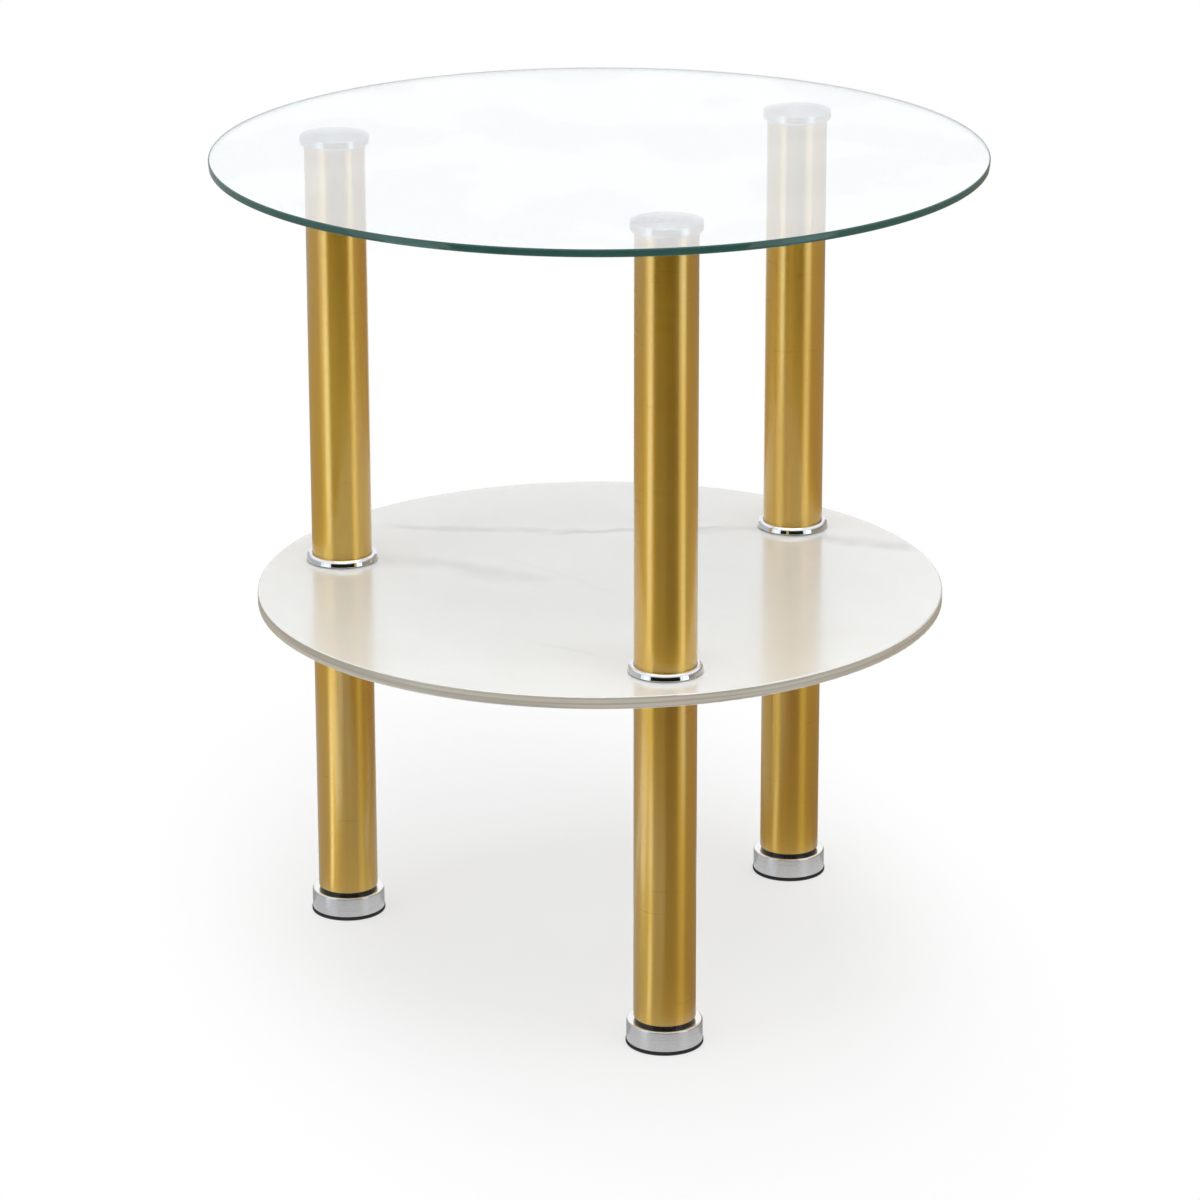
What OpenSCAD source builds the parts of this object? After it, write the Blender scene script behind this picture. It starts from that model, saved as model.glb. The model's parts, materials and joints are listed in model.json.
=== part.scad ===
// Round side table on three tube legs: a clear glass top, a marble-look shelf clamped in
// the legs at half height, and a levelling foot under each leg.
// Millimetres, +Z up. The origin lies on the floor, on the axis of the round top.

/* [Glass top] */
// Diameter of the glass top
top_d = 500; // [400:10:700]
// Thickness of the glass top
top_t = 5; // [4:0.5:12]
// Radius of the polished rim, on both faces
top_rim_r = 1.5; // [0.3:0.1:1.9]

/* [Shelf] */
// How far the shelf's edge stays inside the rim of the glass
shelf_inset = 25; // [0:1:38]
// Thickness of the shelf
shelf_t = 8; // [5:0.5:16]
// Radius of the eased edge, on both faces
shelf_rim_r = 0.8; // [0.2:0.1:2]

/* [Leg tubes] */
// Distance from the rim of the glass in to a leg's axis
leg_inset = 70; // [60:1:140]
// Outside diameter of a leg tube
tube_d = 40; // [36:1:44]
// Wall of a leg tube
tube_wall = 1.2; // [0.8:0.1:2.4]
// Length of a tube above the shelf
upper_tube_l = 276; // [120:2:420]
// Length of a tube below the shelf
lower_tube_l = 222; // [100:2:400]
// Chamfer on the outer edge of a cut tube end
tube_chamfer = 0.4; // [0.1:0.1:0.6]

/* [Clamp rings] */
// How far a ring stands out past the tube
ring_rim = 4; // [4:0.5:6]
// Height of a ring
ring_h = 4.5; // [4.25:0.25:8]
// Depth of the seat that the tube end stands in
ring_seat_depth = 1.5; // [0.5:0.25:2]
// Rounding of the ring's outer edge on the tube side
ring_round = 3.6; // [1:0.1:3.7]
// Rounding of the ring's outer edge on the shelf side
ring_low_round = 0.4; // [0.2:0.1:0.5]
// Thickness of the clear gasket between ring and shelf
gasket_t = 0.5; // [0.3:0.1:1.5]
// How far the gasket stays back from the ring's outer edge
gasket_inset = 0.6; // [0:0.2:3]

/* [Screwed joints] */
// Nominal diameter of every thread
thread_d = 10; // [8:1:12]
// Length of a threaded tube plug
plug_l = 12; // [8:1:20]
// Width of the crimp groove round a tube plug
plug_groove_w = 2; // [1:0.5:4]
// Depth of the crimp groove
plug_groove_depth = 0.8; // [0.3:0.1:1.5]
// How far the tie rod reaches into each tube plug
rod_bite = 11; // [6:1:20]
// Chamfer on the ends of rods and studs
rod_chamfer = 1; // [0.3:0.1:1.5]
// Chamfer at the mouth of a threaded bore
bore_chamfer = 0.8; // [0.3:0.1:1.2]

/* [Top caps] */
// How far a cap stands out past the tube
cap_rim = 2.75; // [1:0.25:6]
// Height of a cap
cap_h = 6; // [4:0.5:12]
// Rounding of the cap's lower edge
cap_round = 2; // [0.5:0.25:3]
// Length of the cap's stud
cap_stud_l = 14; // [8:1:30]

/* [Fine edges] */
// Small radius on the edges of rings, caps, feet and pads that have no rounding of their own
soft_edge = 0.3; // [0.1:0.1:0.5]

/* [Levelling feet] */
// How far the metal foot stands out past the tube
foot_rim = 4.5; // [3:0.5:8]
// Height of the metal foot
foot_h = 13.6; // [11:0.1:20]
// Wall of the metal foot
foot_wall = 3; // [2:0.25:5]
// Thickness of the foot's roof
foot_roof_t = 4; // [2.5:0.25:5]
// Rounding of the foot's upper edge
foot_round = 1.2; // [0.3:0.1:2]
// Radius of the round flange that holds the stud under the roof
stud_flange_r = 12; // [8:0.5:14]
// Thickness of that flange
stud_flange_t = 3; // [1.5:0.25:4]
// Pitch of the foot's thread
foot_pitch = 1.5; // [1:0.25:1.75]
// Turns that the foot can be screwed out
foot_turns = 5; // [2:1:6]

/* [Foot pads] */
// How far the pad stands out past the metal foot
pad_rim = 0.5; // [0:0.25:3]
// Thickness of the pad under the foot
pad_t = 2.2; // [1.5:0.1:5]
// Rounding of the pad's lower edge
pad_round = 0.8; // [0.2:0.1:1.2]
// Wall of the pad's hollow spigot
spigot_wall = 2.5; // [1.5:0.25:4]
// Height of the spigot's snap lip
lip_h = 0.9; // [0.6:0.1:1.2]
// How far the snap lip stands out into the foot's groove
lip_reach = 0.6; // [0.3:0.1:1]
// Gap between the spigot's end and the stud's flange
spigot_gap = 0.8; // [0.4:0.1:2]
// Width of the slots that let the spigot flex
spigot_slot_w = 2; // [1:0.5:4]

/* [Foot plugs] */
// Height of the black band between tube and foot
band_h = 1.9; // [1.5:0.1:6]
// How far the band stays back from the tube's outside
band_inset = 0.6; // [0.2:0.1:0.9]
// Length of the plug inside the tube
foot_plug_l = 20; // [18:1:40]
// Wall of the plug's sleeve
sleeve_wall = 1.6; // [1:0.2:2.4]
// Thickness of the webs between sleeve and boss
web_t = 1.6; // [1:0.2:3]
// Wall of the boss round the nut's corners
boss_wall = 1.6; // [1:0.2:3]
// How far the barbs stand out from the sleeve
barb_h = 0.9; // [0.4:0.1:1.5]
// Width of the nut across its flats
nut_af = 17; // [15:0.5:18]
// Height of the nut
nut_h = 8; // [5:0.5:10]

/* [Clearances] */
// Round a pressed or screwed piece
fit_clear = 0.05; // [0.02:0.01:0.1]
// Between the tube and its seat in the ring
seat_clear = 0.3; // [0.05:0.05:0.4]
// Round a rod or stud where it only passes through
rod_clear = 1; // [0.3:0.1:2]
// Round the pad's spigot, which turns in the foot
turn_clear = 0.1; // [0.05:0.05:0.3]
// Between pad and foot, above and below the snap lip
float_clear = 0.2; // [0.1:0.05:0.4]
// Under the black band when the foot is screwed in
stop_clear = 0.1; // [0.05:0.05:0.4]

/* [Hidden] */
$fn = 96;

LEGS = ["front", "left", "right"];
// Direction of each leg from the table's axis, in degrees from +X
LEG_ANGLES = [-90, 150, 30];
LEG_PIECES = ["top_cap", "upper_tube", "upper_tube_top_plug", "upper_tube_shelf_plug",
              "ring_above", "gasket_above", "tie_rod", "gasket_below", "ring_below",
              "lower_tube", "lower_tube_shelf_plug", "foot_plug", "foot_nut",
              "foot_stud", "foot_cup", "foot_pad"];

// Runs a cutting tool past the face that it cuts
past = 1;
web_count = 6;
barb_count = 3;
// Where the first barb starts and how long its slope is, as shares of the barbs' pitch
barb_start = 0.6;
barb_slope = 0.8;
slot_count = 4;

top_r = top_d / 2;
shelf_r = top_r - shelf_inset;
leg_circle_r = top_r - leg_inset;

tube_r = tube_d / 2;
bore_r = tube_r - tube_wall;
plug_r = bore_r - fit_clear;
thread_r = thread_d / 2;
screw_r = thread_r - fit_clear;
rod_hole_r = thread_r + rod_clear;

ring_r = tube_r + ring_rim;
ring_floor_t = ring_h - ring_seat_depth;
cap_r = tube_r + cap_rim;

foot_r = tube_r + foot_rim;
cavity_r = foot_r - foot_wall;
cavity_h = foot_h - foot_roof_t;
pad_r = foot_r + pad_rim;
spigot_r = cavity_r - turn_clear;
lip_r = spigot_r + lip_reach;
nut_corner_r = nut_af / 2 / cos(30);
barb_pitch = foot_plug_l / (barb_count + 1);

// Heights above the floor, from the pad up to the glass
foot_z = pad_t + float_clear;
roof_z = foot_z + cavity_h;
lip_z = roof_z - stud_flange_t - spigot_gap - lip_h;
band_z = foot_z + foot_h + stop_clear;
lower_tube_z = band_z + band_h;
nut_z = lower_tube_z + foot_plug_l - nut_h;
ring_below_floor_z = lower_tube_z + lower_tube_l;
gasket_below_z = ring_below_floor_z + ring_floor_t;
shelf_z = gasket_below_z + gasket_t;
gasket_above_z = shelf_z + shelf_t;
ring_above_z = gasket_above_z + gasket_t;
upper_tube_z = ring_above_z + ring_floor_t;
cap_z = upper_tube_z + upper_tube_l;
glass_z = cap_z + cap_h;

foot_travel = foot_turns * foot_pitch;

// Puts a piece on the axis of one leg, with the piece's +X pointing away from the table
module at_leg(i, z) {
    rotate([0, 0, LEG_ANGLES[i]])
        translate([leg_circle_r, 0, z])
            children();
}

// The waste outside a quarter circle, which rounds a square corner
module corner_waste(r) {
    difference() {
        square(r + past);
        circle(r);
    }
}

// Half section of a disc, with its lower and upper outer edges rounded
module disc_half(r, h, low_r, high_r) {
    difference() {
        square([r, h]);
        translate([r - high_r, h - high_r])
            corner_waste(high_r);
        translate([r - low_r, low_r])
            mirror([0, 1])
                corner_waste(low_r);
    }
}

// A threaded rod or stud from z = 0 up, with its end or ends chamfered
module threaded_bar(l, low_chamfer, high_chamfer) {
    rotate_extrude()
        polygon([[0, 0], [screw_r - low_chamfer, 0], [screw_r, low_chamfer],
                 [screw_r, l - high_chamfer], [screw_r - high_chamfer, l], [0, l]]);
}

module glass_top() {
    color([0.72, 0.86, 0.82, 0.5])
        translate([0, 0, glass_z])
            rotate_extrude()
                disc_half(top_r, top_t, top_rim_r, top_rim_r);
}

module shelf() {
    color([0.93, 0.93, 0.91])
        difference() {
            translate([0, 0, shelf_z])
                rotate_extrude()
                    disc_half(shelf_r, shelf_t, shelf_rim_r, shelf_rim_r);
            for (i = [0 : len(LEGS) - 1])
                at_leg(i, shelf_z - past)
                    cylinder(h = shelf_t + 2 * past, r = rod_hole_r);
        }
}

// A leg tube, open at both ends, with its outer edges eased
module leg_tube(l) {
    color([0.79, 0.60, 0.25])
        rotate_extrude()
            polygon([[bore_r, 0], [tube_r - tube_chamfer, 0], [tube_r, tube_chamfer],
                     [tube_r, l - tube_chamfer], [tube_r - tube_chamfer, l], [bore_r, l]]);
}

// Threaded steel plug pressed flush into a tube end, with its face at z = 0 and a crimp groove
module tube_plug() {
    color([0.62, 0.63, 0.65])
        rotate_extrude()
            difference() {
                polygon([[thread_r + bore_chamfer, 0], [plug_r, 0],
                         [plug_r, plug_l - bore_chamfer], [plug_r - bore_chamfer, plug_l],
                         [thread_r, plug_l], [thread_r, bore_chamfer]]);
                translate([plug_r - plug_groove_depth, (plug_l - plug_groove_w) / 2])
                    square([plug_groove_depth + past, plug_groove_w]);
            }
}

// Chromed ring with the shelf face at z = 0 and the seat for the tube end on top
module clamp_ring() {
    seat_r = tube_r + seat_clear;
    color([0.86, 0.87, 0.89])
        rotate_extrude()
            difference() {
                disc_half(ring_r, ring_h, ring_low_round, ring_round);
                square([rod_hole_r, ring_h]);
                translate([0, ring_floor_t])
                    square([seat_r, ring_seat_depth + past]);
                translate([seat_r + soft_edge, ring_h - soft_edge])
                    mirror([1, 0])
                        corner_waste(soft_edge);
            }
}

module gasket() {
    color([0.88, 0.90, 0.90, 0.6])
        difference() {
            cylinder(h = gasket_t, r = ring_r - gasket_inset);
            translate([0, 0, -past])
                cylinder(h = gasket_t + 2 * past, r = rod_hole_r);
        }
}

module tie_rod() {
    color([0.68, 0.69, 0.71])
        threaded_bar(upper_tube_z - ring_below_floor_z + 2 * rod_bite, rod_chamfer, rod_chamfer);
}

// Cap that the glass is bonded to, with the stud that screws into the tube
module top_cap() {
    color([0.80, 0.81, 0.83])
        union() {
            rotate_extrude()
                disc_half(cap_r, cap_h, cap_round, soft_edge);
            translate([0, 0, -cap_stud_l])
                threaded_bar(cap_stud_l + cap_h / 2, rod_chamfer, 0);
        }
}

// Half section of the plug's outside: the band, the sleeve and its barbs, which slope upwards
module foot_plug_outside() {
    sleeve_r = plug_r - barb_h;
    band_r = tube_r - band_inset;
    plug_top = band_h + foot_plug_l;
    polygon([[0, 0], [band_r, 0], [band_r, band_h], [sleeve_r, band_h],
             each [for (k = [0 : barb_count - 1])
                   let (z = band_h + (k + barb_start) * barb_pitch)
                   each [[sleeve_r, z], [plug_r, z], [sleeve_r, z + barb_slope * barb_pitch]]],
             [sleeve_r, plug_top], [0, plug_top]]);
}

// Moulded plug in the lower tube end: its band shows between tube and foot
module foot_plug() {
    sleeve_inside_r = plug_r - barb_h - sleeve_wall;
    boss_r = nut_corner_r + fit_clear + boss_wall;
    color([0.07, 0.07, 0.07])
        difference() {
            rotate_extrude()
                foot_plug_outside();
            translate([0, 0, band_h])
                difference() {
                    cylinder(h = foot_plug_l + past, r = sleeve_inside_r);
                    cylinder(h = foot_plug_l + past, r = boss_r);
                    for (k = [0 : web_count - 1])
                        rotate([0, 0, k * 360 / web_count])
                            translate([0, -web_t / 2, 0])
                                cube([sleeve_inside_r + past, web_t, foot_plug_l + past]);
                }
            translate([0, 0, band_h + foot_plug_l - nut_h])
                cylinder(h = nut_h + past, r = nut_corner_r + fit_clear, $fn = 6);
            translate([0, 0, -past])
                cylinder(h = band_h + foot_plug_l + 2 * past, r = rod_hole_r);
        }
}

// Hexagon nut in the plug's pocket, with its corners chamfered on both faces
module foot_nut() {
    corner_drop = (nut_corner_r - nut_af / 2) * tan(30);
    color([0.70, 0.70, 0.72])
        difference() {
            intersection() {
                cylinder(h = nut_h, r = nut_corner_r, $fn = 6);
                rotate_extrude()
                    polygon([[0, 0], [nut_af / 2, 0], [nut_corner_r, corner_drop],
                             [nut_corner_r, nut_h - corner_drop], [nut_af / 2, nut_h], [0, nut_h]]);
            }
            translate([0, 0, -past])
                cylinder(h = nut_h + 2 * past, r = thread_r);
        }
}

// Stud with a round flange that bears against the underside of the foot's roof
module foot_stud() {
    flange_z = roof_z - stud_flange_t;
    color([0.70, 0.70, 0.72])
        translate([0, 0, flange_z])
            union() {
                cylinder(h = stud_flange_t, r = stud_flange_r);
                threaded_bar(nut_z + nut_h + foot_travel - flange_z, 0, rod_chamfer);
            }
}

// Metal foot: a cup that opens downwards, with a groove for the pad's snap lip
module foot_cup() {
    groove_low = lip_z - foot_z - float_clear;
    groove_h = lip_h + 2 * float_clear;
    color([0.74, 0.75, 0.77])
        rotate_extrude()
            difference() {
                disc_half(foot_r, foot_h, soft_edge, foot_round);
                square([cavity_r, cavity_h]);
                square([thread_r, foot_h]);
                translate([0, groove_low])
                    square([lip_r + turn_clear, groove_h]);
            }
}

// Black pad that stays still on the floor while the foot turns above it
module foot_pad() {
    spigot_inside_r = spigot_r - spigot_wall;
    spigot_top = lip_z + lip_h;
    slot_z = (pad_t + lip_z) / 2;
    color([0.05, 0.05, 0.05])
        difference() {
            union() {
                rotate_extrude()
                    disc_half(pad_r, pad_t, pad_round, soft_edge);
                rotate_extrude()
                    polygon([[spigot_inside_r, pad_t / 2], [spigot_r, pad_t / 2], [spigot_r, lip_z],
                             [lip_r, lip_z], [spigot_r, spigot_top], [spigot_inside_r, spigot_top]]);
            }
            for (k = [0 : slot_count - 1])
                rotate([0, 0, k * 360 / slot_count])
                    translate([0, -spigot_slot_w / 2, slot_z])
                        cube([pad_r, spigot_slot_w, spigot_top]);
        }
}

glass_top();
shelf();
for (i = [0 : len(LEGS) - 1]) {
    leg = LEGS[i];
    at_leg(i, cap_z) top_cap();
    at_leg(i, upper_tube_z) leg_tube(upper_tube_l);
    at_leg(i, cap_z) mirror([0, 0, 1]) tube_plug();
    at_leg(i, upper_tube_z) tube_plug();
    at_leg(i, ring_above_z) clamp_ring();
    at_leg(i, gasket_above_z) gasket();
    at_leg(i, ring_below_floor_z - rod_bite) tie_rod();
    at_leg(i, gasket_below_z) gasket();
    at_leg(i, gasket_below_z) mirror([0, 0, 1]) clamp_ring();
    at_leg(i, lower_tube_z) leg_tube(lower_tube_l);
    at_leg(i, ring_below_floor_z) mirror([0, 0, 1]) tube_plug();
    at_leg(i, band_z) foot_plug();
    at_leg(i, nut_z) foot_nut();
    at_leg(i, 0) foot_stud();
    at_leg(i, foot_z) foot_cup();
    at_leg(i, 0) foot_pad();
}
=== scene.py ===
import json
import math

import bmesh
import bpy
from mathutils import Matrix, Vector

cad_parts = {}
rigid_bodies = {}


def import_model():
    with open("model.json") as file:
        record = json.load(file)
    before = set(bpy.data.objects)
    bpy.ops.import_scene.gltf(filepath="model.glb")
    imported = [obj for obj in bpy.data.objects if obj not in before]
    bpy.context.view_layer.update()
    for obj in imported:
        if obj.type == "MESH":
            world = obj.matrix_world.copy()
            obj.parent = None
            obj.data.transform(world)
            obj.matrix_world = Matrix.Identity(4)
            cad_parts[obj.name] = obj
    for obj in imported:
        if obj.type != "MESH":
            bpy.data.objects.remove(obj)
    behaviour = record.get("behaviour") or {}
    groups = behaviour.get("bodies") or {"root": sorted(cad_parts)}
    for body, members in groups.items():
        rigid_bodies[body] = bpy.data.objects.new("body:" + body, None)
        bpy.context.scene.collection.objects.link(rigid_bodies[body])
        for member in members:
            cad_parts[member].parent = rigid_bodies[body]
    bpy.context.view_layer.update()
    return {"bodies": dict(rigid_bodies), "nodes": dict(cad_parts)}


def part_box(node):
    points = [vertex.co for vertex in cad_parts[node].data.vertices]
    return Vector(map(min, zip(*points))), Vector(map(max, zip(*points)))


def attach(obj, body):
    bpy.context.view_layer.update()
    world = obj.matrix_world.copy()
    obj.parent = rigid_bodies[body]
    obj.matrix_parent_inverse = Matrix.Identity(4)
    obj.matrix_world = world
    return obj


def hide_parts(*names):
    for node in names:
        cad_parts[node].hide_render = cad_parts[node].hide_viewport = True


# Looks of the round glass side table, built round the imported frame. Lengths are in metres.
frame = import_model()
NODES = frame["nodes"]
LEGS = ("front", "left", "right")
# The middle of the table on the floor
MIDDLE = Vector()

# Camera, solved from the table's own outline in the photograph
PHOTO_PX = 1200
FOCAL_PX = 4961
SENSOR_MM = 36
CAMERA_BACK = 3.1018
CAMERA_UP = 1.2803
CAMERA_PITCH = math.radians(18.554)
CAMERA_ROLL = math.radians(-0.091)
# How far round from the front leg the camera stands, towards the left
CAMERA_ROUND = math.radians(13.13)
CAMERA_FARTHEST = 50


# Places seen from the camera

def from_camera(right, away, up):
    """A point so far to the right, away and up from the table's foot, as the camera sees it."""
    return Matrix.Rotation(-CAMERA_ROUND, 3, "Z") @ Vector((right, away, up))


def round_camera(degrees, distance, up):
    """A point at a distance from the table's axis, turned from the camera towards the right."""
    angle = math.radians(degrees)
    return from_camera(distance * math.sin(angle), -distance * math.cos(angle), up)


# Shader nodes

class Shader:
    """Builds the node tree of one material, or of the surroundings."""

    def __init__(self, tree):
        self.tree = tree

    def node(self, kind, inputs=None, **settings):
        """A new node with its settings, and with values or links on its inputs."""
        node = self.tree.nodes.new("ShaderNode" + kind)
        for key, value in settings.items():
            setattr(node, key, value)
        for key, value in (inputs or {}).items():
            self.put(node.inputs[key], value)
        return node

    def put(self, socket, value):
        """Links an output to the socket, or sets a plain value on it."""
        if isinstance(value, bpy.types.NodeSocket):
            self.tree.links.new(value, socket)
        elif socket.type == "RGBA" and len(value) == 3:
            socket.default_value = (*value, 1)
        else:
            socket.default_value = value

    def maths(self, operation, a, b=None):
        node = self.node("Math", operation=operation)
        self.put(node.inputs[0], a)
        if b is not None:
            self.put(node.inputs[1], b)
        return node.outputs[0]

    def mix(self, share, a, b):
        node = self.node("Mix", data_type="RGBA")
        self.put(node.inputs["Factor"], share)
        self.put(node.inputs[6], a)
        self.put(node.inputs[7], b)
        return node.outputs[2]

    def mix_value(self, share, a, b):
        node = self.node("Mix", data_type="FLOAT")
        self.put(node.inputs["Factor"], share)
        self.put(node.inputs[2], a)
        self.put(node.inputs[3], b)
        return node.outputs[0]

    def step(self, value, start, end, low=0.0, high=1.0):
        """A smooth rise from low to high while value goes from start to end."""
        node = self.node("MapRange", interpolation_type="SMOOTHSTEP")
        for index, item in enumerate((value, start, end, low, high)):
            self.put(node.inputs[index], item)
        return node.outputs[0]

    def spread(self, noise, low=0.0, high=1.0):
        """Goes smoothly from low to high over the middle of a noise's range."""
        return self.step(noise, 0.3, 0.7, low, high)

    def place(self):
        """The point in the table's own frame, in metres."""
        return self.node("TexCoord").outputs["Object"]

    def stretched(self, scale, turn=(0, 0, 0)):
        """That point scaled and turned: the larger a scale, the finer the pattern along it."""
        node = self.node("Mapping", {"Vector": self.place(), "Scale": scale, "Rotation": turn})
        return node.outputs[0]

    def noise(self, where, scale=1.0, detail=3.0, roughness=0.5, distortion=0.0):
        node = self.node("TexNoise", {"Vector": where, "Scale": scale, "Detail": detail,
                                      "Roughness": roughness, "Distortion": distortion})
        return node.outputs[0]

    def bump(self, height, distance, strength):
        node = self.node("Bump", {"Height": height, "Distance": distance, "Strength": strength})
        return node.outputs[0]

    def seen(self):
        """1 for what is seen straight, mirrored or through glass, and 0 for the light it gives."""
        path = self.node("LightPath")
        straight = self.maths("MAXIMUM", path.outputs["Is Camera Ray"],
                              path.outputs["Is Glossy Ray"])
        return self.maths("MAXIMUM", straight, path.outputs["Is Transmission Ray"])


def new_material(name):
    """A material with one Principled shader, its Shader helper and that shader's node."""
    material = bpy.data.materials.new(name)
    material.use_nodes = True
    shader = Shader(material.node_tree)
    return material, shader, material.node_tree.nodes["Principled BSDF"]


def set_inputs(shader, node, values):
    """Sets or links several named inputs of a node."""
    for key, value in values.items():
        shader.put(node.inputs[key], value)


# Materials

# Fineness of the patches and of the level smudges on turned metal, along x, y and z
PATCH_SCALE = (14, 14, 5)
SMUDGE_SCALE = (26, 26, 260)
# Share of the metal's colour that is left in a smudge
SMUDGE_SHADE = 0.55
# Depth of the turned lines
LINE_DEPTH = 0.00003
LACQUER_ROUGHNESS = 0.20
FACED_ROUGHNESS = 0.07
GLASS_IOR = 1.52


def turned_metal(name, colour, tint, roughness, line_scale, smudge=0.0, lacquer=0.0, top_colour_with_painted_sheen=None):
    """Metal brushed round its axis: fine level lines that smear each light up and down. Lacquer is
    the index of a hard clear coat over it. Where a colour is given for its upward faces, they are
    polished, and that lighter colour is a painted sheen on them."""
    material, shader, metal = new_material(name)
    lines = shader.noise(shader.stretched((8, 8, line_scale)), detail=4.0, roughness=0.65)
    patches = shader.noise(shader.stretched(PATCH_SCALE), detail=2.0)
    shade = shader.mix(shader.spread(patches), colour, tint)
    if smudge:
        marks = shader.noise(shader.stretched(SMUDGE_SCALE), detail=2.0, roughness=0.6)
        dull = shader.step(marks, 0.66, 0.76, 0.0, smudge)
        shade = shader.mix(dull, shade, [part * SMUDGE_SHADE for part in colour])
    grain = shader.spread(lines, roughness - 0.05, roughness + 0.06)
    # Upward faces: polished, and given a lighter colour that is a painted sheen
    if top_colour_with_painted_sheen:
        facing = shader.node("TexCoord").outputs["Normal"]
        polished_top_and_painted_sheen = shader.step(shader.node("SeparateXYZ", {0: facing}).outputs[2], 0.85, 0.97)
        shade = shader.mix(polished_top_and_painted_sheen, shade, top_colour_with_painted_sheen)
        grain = shader.mix_value(polished_top_and_painted_sheen, grain, FACED_ROUGHNESS)
    tangent = shader.node("Tangent", direction_type="RADIAL", axis="Z")
    set_inputs(shader, metal, {
        "Base Color": shade, "Metallic": 1.0, "Roughness": grain, "Anisotropic": 0.9,
        "Anisotropic Rotation": 0.25, "Tangent": tangent.outputs[0],
        "Normal": shader.bump(lines, LINE_DEPTH, 0.25)})
    if lacquer:
        set_inputs(shader, metal, {"Coat Weight": 1.0, "Coat IOR": lacquer,
                                   "Coat Roughness": LACQUER_ROUGHNESS})
    return material


def chrome():
    """Bright plate with the faint waviness and haze of a buffed ring."""
    material, shader, metal = new_material("chrome")
    haze = shader.noise(shader.place(), scale=900, detail=2.0)
    wave = shader.noise(shader.place(), scale=160, detail=1.0)
    set_inputs(shader, metal, {
        "Base Color": shader.mix(haze, (0.80, 0.81, 0.83), (0.88, 0.88, 0.89)), "Metallic": 1.0,
        "Roughness": shader.spread(haze, 0.04, 0.10),
        "Normal": shader.bump(wave, 0.00002, 0.3)})
    return material


def zinc():
    """Bright zinc plate with a fine spangle."""
    material, shader, metal = new_material("zinc")
    spangle = shader.noise(shader.place(), scale=700, detail=3.0)
    set_inputs(shader, metal, {
        "Base Color": shader.mix(spangle, (0.50, 0.52, 0.55), (0.68, 0.68, 0.66)),
        "Metallic": 1.0, "Roughness": shader.spread(spangle, 0.24, 0.38),
        "Normal": shader.bump(spangle, 0.00003, 0.3)})
    return material


def moulded(name, dark, light, roughness, grain_scale):
    """Black plastic or rubber with a fine moulded grain."""
    material, shader, surface = new_material(name)
    grain = shader.noise(shader.place(), scale=grain_scale, detail=3.0)
    set_inputs(shader, surface, {
        "Base Color": shader.mix(grain, dark, light),
        "Roughness": shader.spread(grain, roughness - 0.06, roughness + 0.06),
        "Specular IOR Level": 0.4, "Normal": shader.bump(grain, 0.00004, 0.4)})
    return material


def clear_glass():
    """Clear float glass with its faint green, which mirrors the pale room brightly."""
    material, shader, glass = new_material("clear_glass")
    film = shader.noise(shader.place(), scale=9, detail=3.0)
    set_inputs(shader, glass, {
        "Base Color": (0.965, 0.99, 0.982), "Transmission Weight": 1.0, "IOR": GLASS_IOR,
        "Roughness": shader.step(film, 0.35, 0.75, 0.0, 0.012), "Coat Weight": 1.0,
        "Coat IOR": 2.45, "Coat Roughness": 0.0})
    return material


def glass_edge():
    """The polished rim, dark green because light crosses the whole top to reach it."""
    material, shader, glass = new_material("glass_edge")
    streaks = shader.noise(shader.stretched((40, 40, 4)), detail=2.0)
    set_inputs(shader, glass, {
        "Base Color": shader.mix(streaks, (0.05, 0.17, 0.14), (0.09, 0.25, 0.21)),
        "Transmission Weight": 0.55, "IOR": GLASS_IOR, "Roughness": 0.06})
    return material


# Veins of the shelf: middle of each vein (x, y), direction in degrees, half length, half width,
# how strongly it shows
VEINS = (
    ((-0.045, 0.130), -17, 0.085, 0.0100, 0.40),
    ((-0.020, 0.124), -14, 0.050, 0.0035, 0.35),
    ((0.050, 0.105), -8, 0.070, 0.0080, 0.55),
    ((0.115, 0.090), -9, 0.060, 0.0110, 0.28),
    ((0.185, 0.046), -30, 0.055, 0.0150, 0.42),
    ((0.200, 0.036), -32, 0.035, 0.0050, 0.30),
    # This row draws a broad soft grey band that starts at the left leg and runs across the shelf
    ((-0.085, 0.050), -38, 0.075, 0.0200, 0.27),
    ((-0.050, -0.125), -45, 0.030, 0.0040, 0.09),
    ((-0.020, 0.020), -62, 0.060, 0.0060, 0.06),
)
# How far the veins wander off their lines, and the share of its half length where one fades
VEIN_WANDER = 0.030
VEIN_FADE = 0.6


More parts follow.
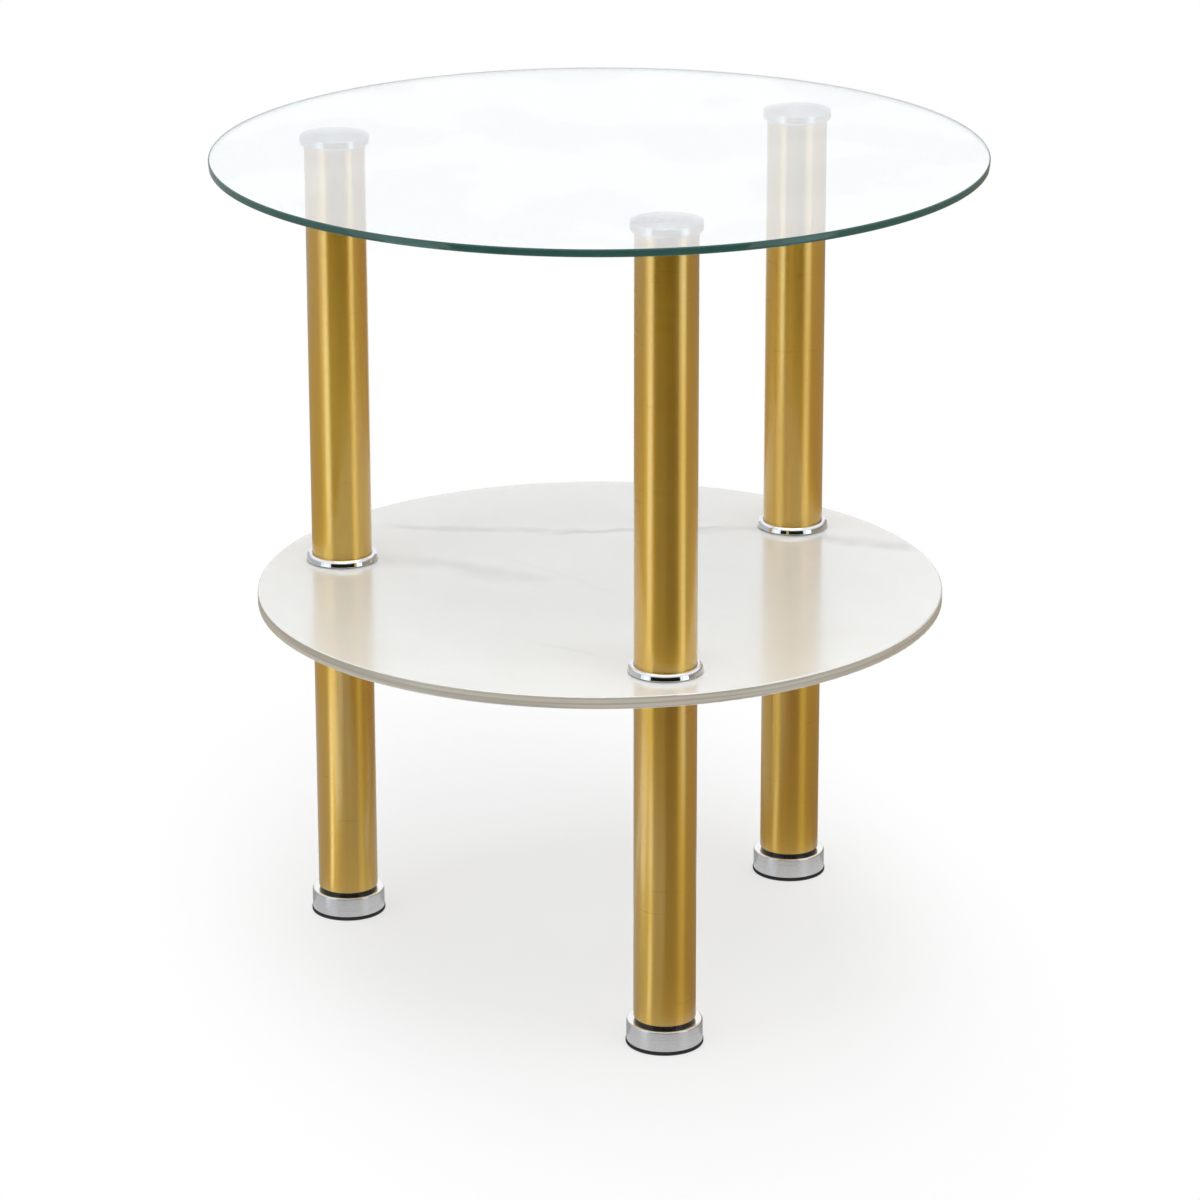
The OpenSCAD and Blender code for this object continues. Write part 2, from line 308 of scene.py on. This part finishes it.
def vein_field(shader):
    """How grey the veins make each point of the shelf, from 0 to 1."""
    bend = shader.node("TexNoise", {"Vector": shader.place(), "Scale": 16.0, "Detail": 4.0,
                                    "Roughness": 0.55})
    offset = shader.node("VectorMath", {0: bend.outputs["Color"], 1: (0.5, 0.5, 0.5)},
                         operation="SUBTRACT")
    scaled = shader.node("VectorMath", {0: offset.outputs[0], "Scale": VEIN_WANDER},
                         operation="SCALE")
    warped = shader.node("VectorMath", {0: shader.place(), 1: scaled.outputs[0]},
                         operation="ADD").outputs[0]
    breakup = shader.noise(shader.place(), scale=55, detail=4.0)
    total = 0.0
    for (x, y), degrees, half_length, half_width, strength in VEINS:
        angle = math.radians(degrees)
        local = shader.node("Mapping", {"Vector": warped, "Location": (x, y, 0),
                                        "Rotation": (0, 0, angle)}, vector_type="TEXTURE")
        parts = shader.node("SeparateXYZ", {0: local.outputs[0]})
        along = shader.maths("ABSOLUTE", parts.outputs[0])
        across = shader.maths("ABSOLUTE", parts.outputs[1])
        ends = shader.step(along, half_length * VEIN_FADE, half_length, 1.0, 0.0)
        sides = shader.step(across, 0.0, half_width, 1.0, 0.0)
        mask = shader.maths("MULTIPLY", shader.maths("MULTIPLY", ends, sides), strength)
        total = shader.maths("MAXIMUM", total, mask)
    return shader.maths("MULTIPLY", total, shader.step(breakup, 0.2, 0.7, 0.55, 1.0))


# Height of the darker line in the shelf's bare edge, as a share of its thickness
SEAM_LEVEL = 0.45


def marble():
    """White satin slab with soft grey veins, and a bare beige edge with fine level lines."""
    material, shader, stone = new_material("marble")
    low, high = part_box("shelf")
    clouds = shader.noise(shader.place(), scale=9, detail=5.0, roughness=0.6, distortion=0.6)
    specks = shader.noise(shader.place(), scale=160, detail=3.0)
    face = shader.mix(shader.step(clouds, 0.35, 0.75), (0.945, 0.932, 0.896),
                      (0.905, 0.891, 0.853))
    face = shader.mix(shader.maths("MULTIPLY", specks, 0.10), face, (0.70, 0.69, 0.66))
    face = shader.mix(vein_field(shader), face, (0.42, 0.42, 0.43))
    height = shader.node("SeparateXYZ", {0: shader.place()}).outputs[2]
    level = shader.maths("DIVIDE", shader.maths("SUBTRACT", height, low.z), high.z - low.z)
    lines = shader.noise(shader.stretched((6, 6, 420)), detail=3.0, roughness=0.6)
    body = shader.mix(shader.step(lines, 0.40, 0.62), (0.42, 0.375, 0.305), (0.56, 0.51, 0.43))
    seam = shader.maths("ABSOLUTE", shader.maths("SUBTRACT", level, SEAM_LEVEL))
    body = shader.mix(shader.step(seam, 0.03, 0.07, 0.5, 0.0), body, (0.32, 0.29, 0.24))
    upright = shader.node("SeparateXYZ", {0: shader.node("NewGeometry").outputs["Normal"]})
    slope = shader.maths("ABSOLUTE", upright.outputs[2])
    edge_share = shader.step(slope, 0.25, 0.60, 1.0, 0.0)
    set_inputs(shader, stone, {
        "Base Color": shader.mix(edge_share, face, body),
        "Roughness": shader.mix_value(edge_share, shader.spread(clouds, 0.20, 0.26), 0.42),
        "IOR": 1.62, "Coat Weight": shader.maths("SUBTRACT", 1.0, edge_share), "Coat IOR": 1.5,
        "Coat Roughness": 0.17, "Normal": shader.bump(specks, 0.00002, 0.3)})
    return material


def gasket():
    """Clear soft vinyl, a little cloudy."""
    material, shader, vinyl = new_material("clear_vinyl")
    film = shader.noise(shader.place(), scale=300, detail=2.0)
    set_inputs(shader, vinyl, {
        "Base Color": shader.mix(film, (0.80, 0.83, 0.83), (0.90, 0.92, 0.92)),
        "Transmission Weight": 0.8, "IOR": 1.45,
        "Roughness": shader.spread(film, 0.10, 0.25)})
    return material


GOLD = turned_metal("gold", (0.785, 0.457, 0.042), (0.835, 0.522, 0.062), 0.36, 1400, smudge=0.30,
                    lacquer=1.9)
# Colour, tint, roughness and fineness of lines of the bare metal
BARE_METAL = ((0.70, 0.70, 0.715), (0.79, 0.785, 0.79), 0.26, 1800)
SATIN = turned_metal("satin", *BARE_METAL)
# The cups' upward faces are polished and get a lighter colour, a painted sheen
FOOT = turned_metal("foot_metal", *BARE_METAL, top_colour_with_painted_sheen=(0.94, 0.93, 0.90))
CHROME = chrome()
ZINC = zinc()
PLASTIC = moulded("black_plastic", (0.010, 0.010, 0.010), (0.022, 0.022, 0.022), 0.24, 1200)
RUBBER = moulded("black_rubber", (0.012, 0.012, 0.012), (0.028, 0.027, 0.026), 0.62, 1600)
VINYL = gasket()
FACE_GLASS = clear_glass()
EDGE_GLASS = glass_edge()
MARBLE = marble()

LEG_FINISH = {
    "top_cap": SATIN, "upper_tube": GOLD, "upper_tube_top_plug": ZINC,
    "upper_tube_shelf_plug": ZINC, "ring_above": CHROME, "gasket_above": VINYL, "tie_rod": ZINC,
    "gasket_below": VINYL, "ring_below": CHROME, "lower_tube": GOLD,
    "lower_tube_shelf_plug": ZINC, "foot_plug": PLASTIC, "foot_nut": ZINC, "foot_stud": ZINC,
    "foot_cup": FOOT, "foot_pad": RUBBER}


def dress(node, material):
    """Gives a carried-over node its finished material."""
    for slot in NODES[node].material_slots:
        slot.material = material


for leg in LEGS:
    for piece, material in LEG_FINISH.items():
        dress(f"{piece}_{leg}", material)
dress("shelf", MARBLE)


# Turned shapes

QUARTER = math.pi / 2


def arc(middle, size, start, end, steps):
    """Points of an arc in a half section, between two angles above the level."""
    points = []
    for k in range(steps + 1):
        angle = start + (end - start) * k / steps
        points.append((middle[0] + size * math.cos(angle), middle[1] + size * math.sin(angle)))
    return points


def on_circle(radius, share):
    """The x and y of a point that is this share of a turn round a circle."""
    angle = 2 * math.pi * share
    return radius * math.cos(angle), radius * math.sin(angle)


def turned_row(mesh, middle, radius, height, segments):
    """New vertices round the upright axis through the middle, all at one height."""
    row = []
    for k in range(segments):
        x, y = on_circle(radius, k / segments)
        row.append(mesh.verts.new((middle.x + x, middle.y + y, height)))
    return row


def linked(name, data):
    """A new object in the scene."""
    piece = bpy.data.objects.new(name, data)
    bpy.context.scene.collection.objects.link(piece)
    return piece


def solid(name, mesh, *materials):
    """A new object from a closed mesh, with its normals turned outwards."""
    bmesh.ops.recalc_face_normals(mesh, faces=mesh.faces)
    data = bpy.data.meshes.new(name)
    mesh.to_mesh(data)
    mesh.free()
    for material in materials:
        data.materials.append(material)
    return linked(name, data)


# Glass top

TOP_SEGMENTS = 288
# Size of the small rounds on the rim
RIM_ROUND = 0.0009
ROUND_STEPS = 4
# Thickness of the clear bond between the caps and the glass
CLEAR_BOND = 0.00006
# A face whose normal rises more than this is level
LEVEL_FACE = 0.999


def glass_profile(radius, low, high):
    """Half section of the top, from the lower face's middle round the rim to the upper face's."""
    flat = radius - RIM_ROUND * 2
    corner = radius - RIM_ROUND
    return [(0.0, low), (flat, low),
            *arc((corner, low + RIM_ROUND), RIM_ROUND, -QUARTER, 0.0, ROUND_STEPS),
            *arc((corner, high - RIM_ROUND), RIM_ROUND, 0.0, QUARTER, ROUND_STEPS),
            (flat, high), (0.0, high)]


def lathe(name, profile, segments, *materials):
    """A closed solid turned from a half section whose first and last points lie on the axis."""
    mesh = bmesh.new()
    rows = [turned_row(mesh, MIDDLE, radius, height, segments)
            for radius, height in profile[1:-1]]
    bottom = mesh.verts.new((0, 0, profile[0][1]))
    top = mesh.verts.new((0, 0, profile[-1][1]))
    for k in range(segments):
        after = (k + 1) % segments
        mesh.faces.new((bottom, rows[0][after], rows[0][k]))
        mesh.faces.new((top, rows[-1][k], rows[-1][after]))
        for lower, upper in zip(rows, rows[1:]):
            mesh.faces.new((lower[k], lower[after], upper[after], upper[k]))
    return solid(name, mesh, *materials)


def glass_top():
    """The top as one closed piece, with clear level faces and a dark polished rim."""
    low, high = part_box("glass_top")
    profile = glass_profile((high.x - low.x) / 2, low.z + CLEAR_BOND, high.z)
    piece = lathe("glass_top_polished", profile, TOP_SEGMENTS, FACE_GLASS, EDGE_GLASS)
    for face in piece.data.polygons:
        is_level = abs(face.normal.z) > LEVEL_FACE
        face.use_smooth = not is_level
        face.material_index = 0 if is_level else 1
    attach(piece, "table")
    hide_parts("glass_top")


glass_top()


# Chromed rings: the side leans in a little under the round shoulder, so it mirrors the room's
# level. Lengths of the half section, from the face on the shelf
RING_SEGMENTS = 144
RING_BORE = 0.006
RING_SEAT_FLOOR = 0.0030
RING_SEAT = 0.0203
RING_LOW_ROUND = 0.0004
RING_SIDE_TOP = 0.0026
RING_LEAN = math.radians(13)
RING_STEPS = 10
# Share of the side's height at which extra edges hold it flat
RING_HOLD = 0.06


def ring_profile(radius, height):
    """Closed half section of a ring and, for each of its sides, whether it is rounded."""
    points = [(RING_BORE, 0.0)]
    points += arc((radius - RING_LOW_ROUND, RING_LOW_ROUND), RING_LOW_ROUND, -QUARTER, RING_LEAN,
                  RING_STEPS)
    low_r, low_z = points[-1]
    side = RING_SIDE_TOP - low_z
    for share in (RING_HOLD, 1 - RING_HOLD):
        points.append((low_r - side * share * math.tan(RING_LEAN), low_z + side * share))
    side_in = low_r - side * math.tan(RING_LEAN)
    shoulder = (height - RING_SIDE_TOP) / (1 - math.sin(RING_LEAN))
    shoulder_middle = (side_in - shoulder * math.cos(RING_LEAN),
                       RING_SIDE_TOP - shoulder * math.sin(RING_LEAN))
    points += arc(shoulder_middle, shoulder, RING_LEAN, QUARTER, RING_STEPS)
    curved = [False] + [True] * (len(points) - 2) + [False] * 4
    points += [(RING_SEAT, height), (RING_SEAT, RING_SEAT_FLOOR), (RING_BORE, RING_SEAT_FLOOR)]
    return points, curved


def ring(node, seat_up):
    """Replaces a ring. Its seat opens upwards over the shelf and downwards under it."""
    low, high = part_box(node)
    points, curved = ring_profile((high.x - low.x) / 2, high.z - low.z)
    mesh = bmesh.new()
    rows = [turned_row(mesh, (low + high) / 2, radius, low.z + up if seat_up else high.z - up,
                       RING_SEGMENTS) for radius, up in points]
    for row, is_curved in enumerate(curved):
        lower = rows[row]
        upper = rows[(row + 1) % len(rows)]
        for k in range(RING_SEGMENTS):
            after = (k + 1) % RING_SEGMENTS
            face = mesh.faces.new((lower[k], lower[after], upper[after], upper[k]))
            face.smooth = is_curved
    piece = solid(f"{node}_polished", mesh, CHROME)
    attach(piece, "table")
    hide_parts(node)


for leg in LEGS:
    ring(f"ring_above_{leg}", seat_up=True)
    ring(f"ring_below_{leg}", seat_up=False)


# Studio

def stage_mesh(name, corners, faces, material):
    """A new piece of the studio, which is no part of the table."""
    data = bpy.data.meshes.new(name)
    data.from_pydata([tuple(corner) for corner in corners], [], faces)
    data.materials.append(material)
    piece = linked(name, data)
    return piece


FLOOR_COLOUR = (0.90, 0.90, 0.905)
FLOOR_ROUGHNESS = 0.9
FLOOR_SEGMENTS = 96
FLOOR_RINGS = (0.04, 0.08, 0.12, 0.15, 0.18, 0.21, 0.25, 0.3, 0.36, 0.45, 0.6, 0.9, 1.5, 3.0, 6.0)
# The floor stays flat this far round the middle of each foot
FLOOR_FLAT = 0.035
# The least distance from that flat part, which keeps a foot's share of a point finite
FLOOR_LEAST = 1e-5
# The floor keeps this share of its shading under the table, and none past the far radius
FLOOR_SHADE = 0.41
FLOOR_NEAR = 0.28
FLOOR_FAR = 0.64
# The shading reaches this much less far to the sides than to the front and back
FLOOR_NARROW = 2.02


def foot_middle(leg):
    """The point on the floor in the middle of a leg's foot."""
    low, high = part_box(f"foot_cup_{leg}")
    return Vector(((low.x + high.x) / 2, (low.y + high.y) / 2, 0))


def follow_feet(ground):
    """Lets the floor lie under each foot wherever that foot is screwed to, as uneven ground does.
    Each point takes a share from each foot that falls with the square of its distance."""
    middles = {leg: foot_middle(leg) for leg in LEGS}
    groups = {leg: ground.vertex_groups.new(name=f"under_{leg}") for leg in LEGS}
    for vertex in ground.data.vertices:
        pulls = {}
        for leg, middle in middles.items():
            clear = max(FLOOR_LEAST, (vertex.co - middle).length - FLOOR_FLAT)
            pulls[leg] = 1 / clear ** 2
        for leg, pull in pulls.items():
            groups[leg].add([vertex.index], pull / sum(pulls.values()), "REPLACE")
    for leg in LEGS:
        hook = ground.modifiers.new(f"under_{leg}", "HOOK")
        hook.object = frame["bodies"][f"pad_{leg}"]
        hook.vertex_group = f"under_{leg}"
        hook.matrix_inverse = hook.object.matrix_world.inverted() @ ground.matrix_world


def floor():
    """Pale floor that keeps the soft shadow and fades into the white background."""
    material, shader, plain = new_material("floor")
    set_inputs(shader, plain, {"Base Color": FLOOR_COLOUR, "Roughness": FLOOR_ROUGHNESS})
    oval = shader.stretched((FLOOR_NARROW, 1, 1), turn=(0, 0, CAMERA_ROUND))
    distance = shader.node("VectorMath", {0: oval}, operation="LENGTH").outputs["Value"]
    fade = shader.step(distance, FLOOR_NEAR, FLOOR_FAR, 1 - FLOOR_SHADE, 1.0)
    white = shader.node("Emission", {"Color": WHITE, "Strength": 1.0})
    blend = shader.node("MixShader", {0: shader.maths("MULTIPLY", fade, shader.seen()),
                                      1: plain.outputs[0], 2: white.outputs[0]})
    output = shader.tree.nodes["Material Output"]
    shader.put(output.inputs["Surface"], blend.outputs[0])
    corners = []
    faces = []
    for radius in FLOOR_RINGS:
        corners += [(*on_circle(radius, k / FLOOR_SEGMENTS), 0) for k in range(FLOOR_SEGMENTS)]
    faces.append(list(range(FLOOR_SEGMENTS)))
    for row in range(len(FLOOR_RINGS) - 1):
        start = row * FLOOR_SEGMENTS
        for k in range(FLOOR_SEGMENTS):
            after = (k + 1) % FLOOR_SEGMENTS
            faces.append((start + k, start + FLOOR_SEGMENTS + k,
                          start + FLOOR_SEGMENTS + after, start + after))
    follow_feet(stage_mesh("floor", corners, faces, material))


# Colours of the lamps and the cards
WHITE = (1.0, 1.0, 1.0)
COOL = (0.90, 0.97, 1.0)
BLUISH = (0.76, 0.90, 1.0)
WARM = (1.0, 0.77, 0.47)
STRAW = (1.0, 0.86, 0.66)
PALE = (1.0, 0.96, 0.88)


def card_material(name, glow, colour):
    """A plain glow that is clear where the card's cover is 0."""
    material = bpy.data.materials.new(name)
    material.use_nodes = True
    shader = Shader(material.node_tree)
    material.node_tree.nodes.clear()
    light = shader.node("Emission", {"Color": colour, "Strength": glow})
    clear = shader.node("BsdfTransparent")
    cover = shader.node("Attribute", attribute_name="cover").outputs["Fac"]
    blend = shader.node("MixShader", {0: cover, 1: clear.outputs[0], 2: light.outputs[0]})
    output = shader.node("OutputMaterial")
    shader.put(output.inputs["Surface"], blend.outputs[0])
    return material


def smooth(share):
    """An eased rise from 0 to 1."""
    share = min(1.0, max(0.0, share))
    return share * share * (3 - 2 * share)


# Degrees from one upright edge of a card to the next, and rows of faces up a card
CARD_STEP = 4
CARD_ROWS = 8
# A soft card fades over so many degrees at its ends, and over this share of its height at its top
SOFT_END = 16
SOFT_TOP = 0.75
# A card lower than this lies on the floor
LYING = 0.01


def card(name, start, end, low, high, near, far, glow, colour, middle=MIDDLE, soft=False):
    """A curved grey card that only reflections see, from start to end degrees round from the
    camera. Its lower edge lies at the near distance from the middle and its upper edge at the far
    one. A soft card fades away at its ends and its top."""
    count = max(1, round((end - start) / CARD_STEP))
    corners = []
    covers = []
    for k in range(count + 1):
        degrees = start + (end - start) * k / count
        for row in range(CARD_ROWS + 1):
            rise = row / CARD_ROWS
            distance = near + (far - near) * rise
            corners.append(round_camera(degrees, distance, low + (high - low) * rise) + middle)
            ends = smooth((degrees - start) / SOFT_END) * smooth((end - degrees) / SOFT_END)
            covers.append(ends * smooth((1 - rise) / SOFT_TOP) if soft else 1.0)
    column = CARD_ROWS + 1
    faces = [(k * column + row, (k + 1) * column + row, (k + 1) * column + row + 1,
              k * column + row + 1) for k in range(count) for row in range(CARD_ROWS)]
    piece = stage_mesh(name, corners, faces, card_material(name, glow, colour))
    piece.data.attributes.new("cover", "FLOAT", "POINT").data.foreach_set("value", covers)
    if high < LYING:
        follow_feet(piece)
    piece.visible_camera = False
    piece.visible_transmission = False
    piece.visible_diffuse = False
    piece.visible_shadow = False


# Height of the top of the lower cards, and heights of the cards that lie on the floor
CARD_TOP = 0.53
FLOOR_CARD = 0.0012
FLOOR_GLARE = 0.0018
LEG_CARD = 0.0024
# Reflection cards under the level of the top: name, start and end round from the camera, lower and
# upper height, lower and upper distance, glow, colour
CARDS = (
    ("card_front", -40, 40, 0.0, CARD_TOP, 1.6, 1.5, 0.01, WARM),
    ("card_left", -158, -72, 0.0, CARD_TOP, 1.7, 1.7, 0.50, COOL),
    ("card_right", 67, 158, 0.0, CARD_TOP, 1.7, 1.7, 0.31, STRAW),
    ("strip_left", -62, -45, 0.0, CARD_TOP, 1.65, 1.65, 1.4, BLUISH),
    ("strip_right", 50, 65, 0.0, CARD_TOP, 1.65, 1.65, 1.8, BLUISH),
    ("card_floor_inner", -180, 5, FLOOR_CARD, FLOOR_CARD, 0.01, 0.38, 0.45, PALE),
    ("card_floor_back_left", -180, -75, FLOOR_CARD, FLOOR_CARD, 0.38, 0.62, 0.48, PALE),
    ("card_floor_left", -75, 5, FLOOR_CARD, FLOOR_CARD, 0.38, 0.62, 0.60, PALE),
    ("card_floor_right", 5, 180, FLOOR_CARD, FLOOR_CARD, 0.01, 0.62, 0.34, WARM),
    ("card_floor_front_left", -40, 0, FLOOR_CARD, FLOOR_CARD, 0.62, 1.7, 0.32, WARM),
    ("card_floor_front_right", 0, 40, FLOOR_CARD, FLOOR_CARD, 0.62, 1.7, 0.23, WARM),
    ("card_floor_far_left", -165, -40, FLOOR_CARD, FLOOR_CARD, 0.62, 1.7, 0.46, WARM),
    ("card_floor_far_right", 40, 165, FLOOR_CARD, FLOOR_CARD, 0.62, 1.7, 0.46, WARM),
    ("card_glare_left", -61, -44, FLOOR_GLARE, FLOOR_GLARE, 0.92, 1.7, 2.0, BLUISH),
    ("card_glare_right", 49, 63, FLOOR_GLARE, FLOOR_GLARE, 0.60, 1.3, 1.2, BLUISH),
)
# The same for the cards above it, which the glass shows too, so they are soft and neutral
SOFT_CARDS = (
    ("card_front_high", -48, 48, CARD_TOP, 1.15, 1.5, 1.4, 0.16, WHITE),
    ("card_left_high", -165, -64, CARD_TOP, 1.2, 1.7, 1.7, 0.62, WHITE),
    ("card_right_high", 56, 165, CARD_TOP, 1.2, 1.7, 1.7, 0.45, WHITE),
)
# Cards on the floor round each foot: name, start and end round from the camera, nearest and
# farthest from the leg, glow
FOOT_CARDS = (
    ("foot_back_left", -180, -95, 0.0247, 0.065, 0.42),
    ("foot_front", -95, 95, 0.0247, 0.065, 0.66),
    ("foot_back_right", 95, 180, 0.0247, 0.065, 0.42),
)
# The left lamp's glare on the floor beside each foot, parted where another leg would show it:
# leg, start and end round from the camera, nearest and farthest from the leg, glow
GLARES = (
    ("front", -61, -47, 0.065, 0.22, 1.2),
    ("front", -60, -46, 0.31, 0.50, 1.8),
    ("left", -62, -50, 0.065, 0.50, 1.8),
    ("right", -62, -48, 0.065, 0.20, 0.9),
    ("right", -61, -47, 0.48, 0.78, 1.6),
)


def leg_cards():
    """The cards on the floor round each foot, and the glare beside each."""
    for leg in LEGS:
        for name, start, end, near, far, glow in FOOT_CARDS:
            card(f"{name}_{leg}", start, end, LEG_CARD, LEG_CARD, near, far, glow, WHITE,
                 foot_middle(leg))
    for leg, start, end, near, far, glow in GLARES:
        card(f"glare_{leg}", start, end, LEG_CARD, LEG_CARD, near, far, glow, COOL,
             foot_middle(leg))


# Height of the point on the table's axis that the lamps are aimed at
AIM_UP = 0.27


def softbox(name, degrees, distance, up, width, height, brightness, colour):
    """A soft lamp aimed at the table. Brightness is its surface's own, where 1 is white."""
    lamp = bpy.data.lights.new(name, "AREA")
    lamp.color = colour
    lamp.shape = "RECTANGLE"
    lamp.size = width
    lamp.size_y = height
    lamp.energy = brightness * math.pi * width * height
    piece = linked(name, lamp)
    piece.location = round_camera(degrees, distance, up)
    back = piece.location - Vector((0, 0, AIM_UP))
    piece.rotation_euler = back.to_track_quat("Z", "Y").to_euler()
    piece.visible_camera = False
    piece.visible_glossy = False


# Softboxes: name, degrees round from the camera, distance, height, own width and height,
# brightness, colour
SOFTBOXES = (
    ("left_strip", -54, 1.8, 0.80, 0.58, 1.6, 1.20, BLUISH),
    ("right_strip", 53, 1.3, 0.70, 0.36, 1.4, 0.50, BLUISH),
    ("overhead", 20, 0.3, 2.3, 2.2, 2.2, 1.9, WHITE),
)


# The surroundings as reflections show them, a little cool, and the share of their white that
# lights the table
MIRRORED = (0.96, 0.975, 1.0)
WORLD_LIGHT = 0.60


def world():
    """White surroundings."""
    surroundings = bpy.data.worlds.new("white")
    bpy.context.scene.world = surroundings
    surroundings.use_nodes = True
    shader = Shader(surroundings.node_tree)
    is_mirrored = shader.node("LightPath").outputs["Is Glossy Ray"]
    set_inputs(shader, surroundings.node_tree.nodes["Background"], {
        "Color": shader.mix(is_mirrored, WHITE, MIRRORED),
        "Strength": shader.mix_value(shader.seen(), WORLD_LIGHT, 1.0)})


def camera():
    """The camera of the photograph."""
    lens = bpy.data.cameras.new("camera")
    lens.sensor_width = SENSOR_MM
    lens.lens = SENSOR_MM * FOCAL_PX / PHOTO_PX
    lens.clip_end = CAMERA_FARTHEST
    piece = linked("camera", lens)
    turn = (Matrix.Rotation(-CAMERA_ROUND, 4, "Z")
            @ Matrix.Rotation(QUARTER - CAMERA_PITCH, 4, "X")
            @ Matrix.Rotation(CAMERA_ROLL, 4, "Z"))
    piece.matrix_world = Matrix.Translation(from_camera(0, -CAMERA_BACK, CAMERA_UP)) @ turn
    bpy.context.scene.camera = piece


floor()
for values in CARDS:
    card(*values)
for values in SOFT_CARDS:
    card(*values, soft=True)
leg_cards()
for values in SOFTBOXES:
    softbox(*values)
world()
camera()
bpy.context.scene.view_settings.view_transform = "Standard"
